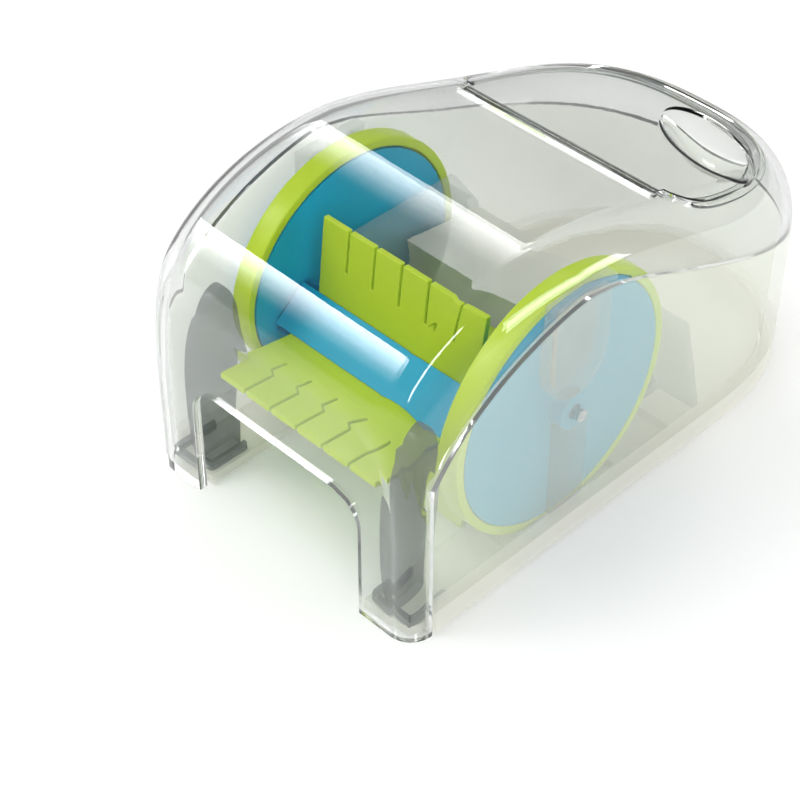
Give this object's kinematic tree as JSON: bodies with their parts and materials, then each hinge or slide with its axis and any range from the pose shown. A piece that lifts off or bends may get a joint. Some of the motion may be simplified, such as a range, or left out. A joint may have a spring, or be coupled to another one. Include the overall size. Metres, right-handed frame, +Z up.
{
  "type": "bead sweeper",
  "caption": "Hand-pushed sweeper for small craft beads: geared wheels spin a paddle drum that throws the beads over a ramp into a clear hopper with a hinged lid.",
  "frame": {"origin": "middle of the footprint on the table, under the housing, with the wheels touching z = 0", "axes": "+X to the right seen from behind, along the wheels' axle; +Y to the rear, towards the hopper; +Z up"},
  "size_m": [0.0664, 0.1165, 0.0625],
  "materials": {
    "clear_cover": "clear, polished",
    "frosted_shell": "milky, half clear, satin",
    "green_plastic": "yellow-green, semi-gloss",
    "blue_plastic": "turquoise blue, semi-gloss",
    "white_plastic": "natural white, satin",
    "axle_steel": "ground, bright"
  },
  "bodies": {
    "housing": {"top_cover": "clear_cover", "lower_shell": "frosted_shell", "base_tray": "frosted_shell", "pickup_ramp": "frosted_shell", "right_wheel_guard": "clear_cover", "left_wheel_guard": "clear_cover", "right_axle_post": "frosted_shell", "left_axle_post": "frosted_shell", "right_axle_keeper": "clear_cover", "left_axle_keeper": "clear_cover", "right_gear_cover": "blue_plastic", "left_gear_cover": "blue_plastic", "right_stub_axle": "axle_steel", "left_stub_axle": "axle_steel", "right_lid_pin": "axle_steel", "left_lid_pin": "axle_steel"},
    "drum": {"drum_core": "blue_plastic", "drum_axle": "axle_steel", "right_pinion": "white_plastic", "left_pinion": "white_plastic", "paddle_1": "green_plastic", "paddle_2": "green_plastic", "paddle_3": "green_plastic", "paddle_4": "green_plastic"},
    "right_wheel": {"right_wheel_rim": "green_plastic", "right_wheel_disc": "blue_plastic"},
    "left_wheel": {"left_wheel_rim": "green_plastic", "left_wheel_disc": "blue_plastic"},
    "lid": {"hopper_lid": "clear_cover"}
  },
  "joints": [
    {"name": "drum_spin", "type": "hinge", "parent": "housing", "child": "drum", "pos_m": [0, -0.02896, 0.0233], "axis": [1, 0, 0], "continuous": true},
    {"name": "right_wheel_spin", "type": "hinge", "parent": "housing", "child": "right_wheel", "pos_m": [0.02565, -0.01624, 0.026], "axis": [1, 0, 0], "continuous": true},
    {"name": "left_wheel_spin", "type": "hinge", "parent": "housing", "child": "left_wheel", "pos_m": [-0.02565, -0.01624, 0.026], "axis": [1, 0, 0], "continuous": true},
    {"name": "lid_hinge", "type": "hinge", "parent": "housing", "child": "lid", "pos_m": [0, 0.01076, 0.05281], "axis": [1, 0, 0], "range_deg": [0, 100]}
  ],
  "couplings": [
    {"joint": "left_wheel_spin", "follows": "right_wheel_spin", "ratio": 1},
    {"joint": "drum_spin", "follows": "right_wheel_spin", "ratio": 2.4286}
  ]
}
